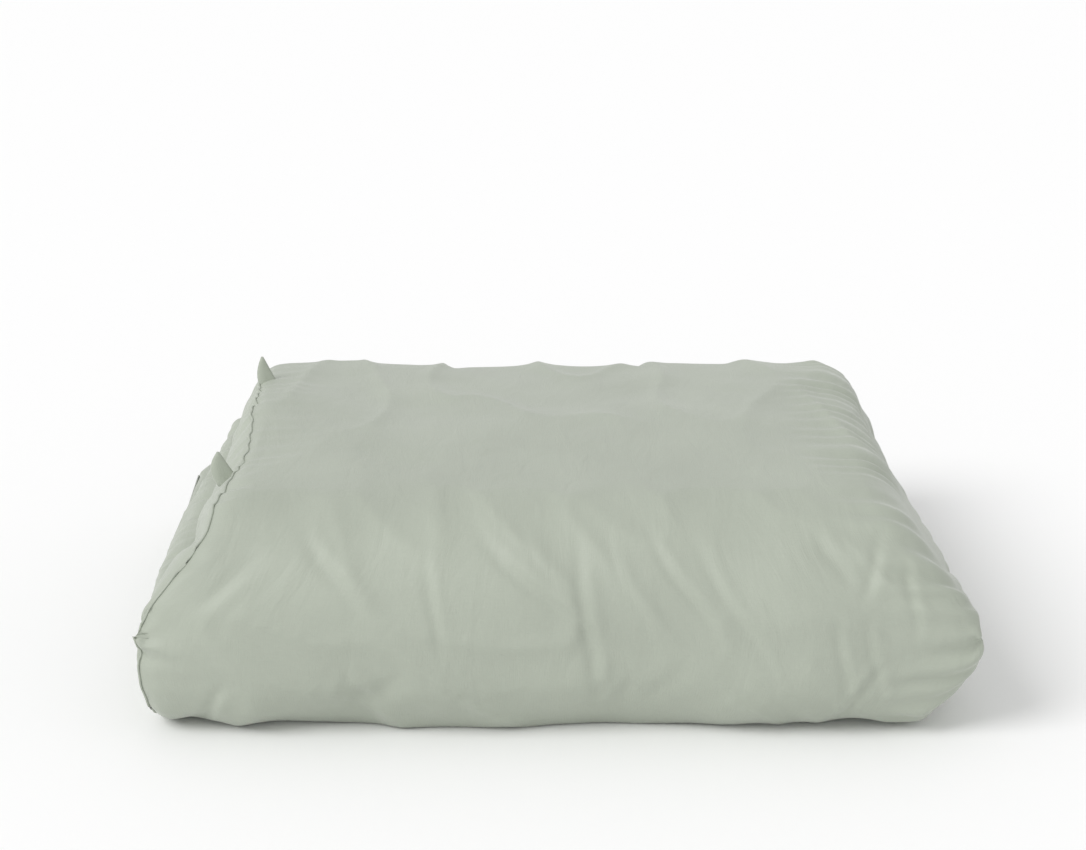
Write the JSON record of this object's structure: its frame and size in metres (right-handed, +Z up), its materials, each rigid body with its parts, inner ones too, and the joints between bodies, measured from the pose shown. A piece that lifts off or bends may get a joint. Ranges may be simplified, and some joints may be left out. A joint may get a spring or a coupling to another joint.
{
  "type": "folded duvet",
  "caption": "Soft quilted duvet in a plain cotton cover, folded in half twice into a thick padded block, with a zip in one end and an upper leaf that opens about the front fold.",
  "frame": {"origin": "centre of the folded block's footprint, on the surface that it lies on", "axes": "+Z up, +X along the front fold from the open end to the folded end, +Y from the front fold to the open back"},
  "size_m": [0.865, 0.64, 0.24],
  "materials": {
    "cover_face": "smooth sage green cotton with a soft sheen",
    "cover_reverse": "smooth sage green cotton, inside face",
    "ticking": "white downproof cotton",
    "fill": "white hollow polyester fibre",
    "ribbon": "white cotton tape",
    "zip_tape": "woven polyester tape in the cover's colour",
    "zip_coil": "nylon coil in the cover's colour",
    "metal": "nickel-plated"
  },
  "bodies": {
    "lower_leaf": {"lower_cover_face": "cover_face", "lower_cover_reverse": "cover_reverse", "ply_1_ticking_bottom": "ticking", "ply_1_ticking_top": "ticking", "ply_1_fill_1": "fill", "ply_1_fill_2": "fill", "ply_1_fill_3": "fill", "ply_1_fill_4": "fill", "ply_1_fill_5": "fill", "ply_1_fill_6": "fill", "ply_1_corner_loop": "ribbon", "ply_1_corner_tie": "ribbon", "ply_2_ticking_bottom": "ticking", "ply_2_ticking_top": "ticking", "ply_2_fill_1": "fill", "ply_2_fill_2": "fill", "ply_2_fill_3": "fill", "ply_2_fill_4": "fill", "ply_2_fill_5": "fill", "ply_2_fill_6": "fill", "ply_2_corner_loop": "ribbon", "ply_2_corner_tie": "ribbon", "insert_care_label": "ribbon", "zip_tape_upper": "zip_tape", "zip_tape_lower": "zip_tape", "zip_coil_upper": "zip_coil", "zip_coil_lower": "zip_coil", "zip_top_stop_upper": "metal", "zip_top_stop_lower": "metal", "zip_bottom_stop": "metal"},
    "upper_leaf": {"upper_cover_face": "cover_face", "upper_cover_reverse": "cover_reverse", "ply_3_ticking_bottom": "ticking", "ply_3_ticking_top": "ticking", "ply_3_fill_1": "fill", "ply_3_fill_2": "fill", "ply_3_fill_3": "fill", "ply_3_fill_4": "fill", "ply_3_fill_5": "fill", "ply_3_fill_6": "fill", "ply_3_corner_loop": "ribbon", "ply_3_corner_tie": "ribbon", "ply_4_ticking_bottom": "ticking", "ply_4_ticking_top": "ticking", "ply_4_fill_1": "fill", "ply_4_fill_2": "fill", "ply_4_fill_3": "fill", "ply_4_fill_4": "fill", "ply_4_fill_5": "fill", "ply_4_fill_6": "fill", "ply_4_corner_loop": "ribbon", "ply_4_corner_tie": "ribbon"},
    "slider": {"zip_slider": "metal"},
    "pull_tab": {"zip_pull_tab": "metal"}
  },
  "joints": [
    {"name": "upper_leaf_unfold", "type": "hinge", "parent": "lower_leaf", "child": "upper_leaf", "pos_m": [0, -0.32, 0.12], "axis": [1, 0, 0], "range_deg": [0, 180]},
    {"name": "zip_slide", "type": "slide", "parent": "lower_leaf", "child": "slider", "axis": [0, 1, 0], "range_m": [0, 0.3815]},
    {"name": "pull_tab_swing", "type": "hinge", "parent": "slider", "child": "pull_tab", "pos_m": [-0.4305, -0.1809, 0.07132], "axis": [0, 0, 1], "range_deg": [0, 180]}
  ]
}
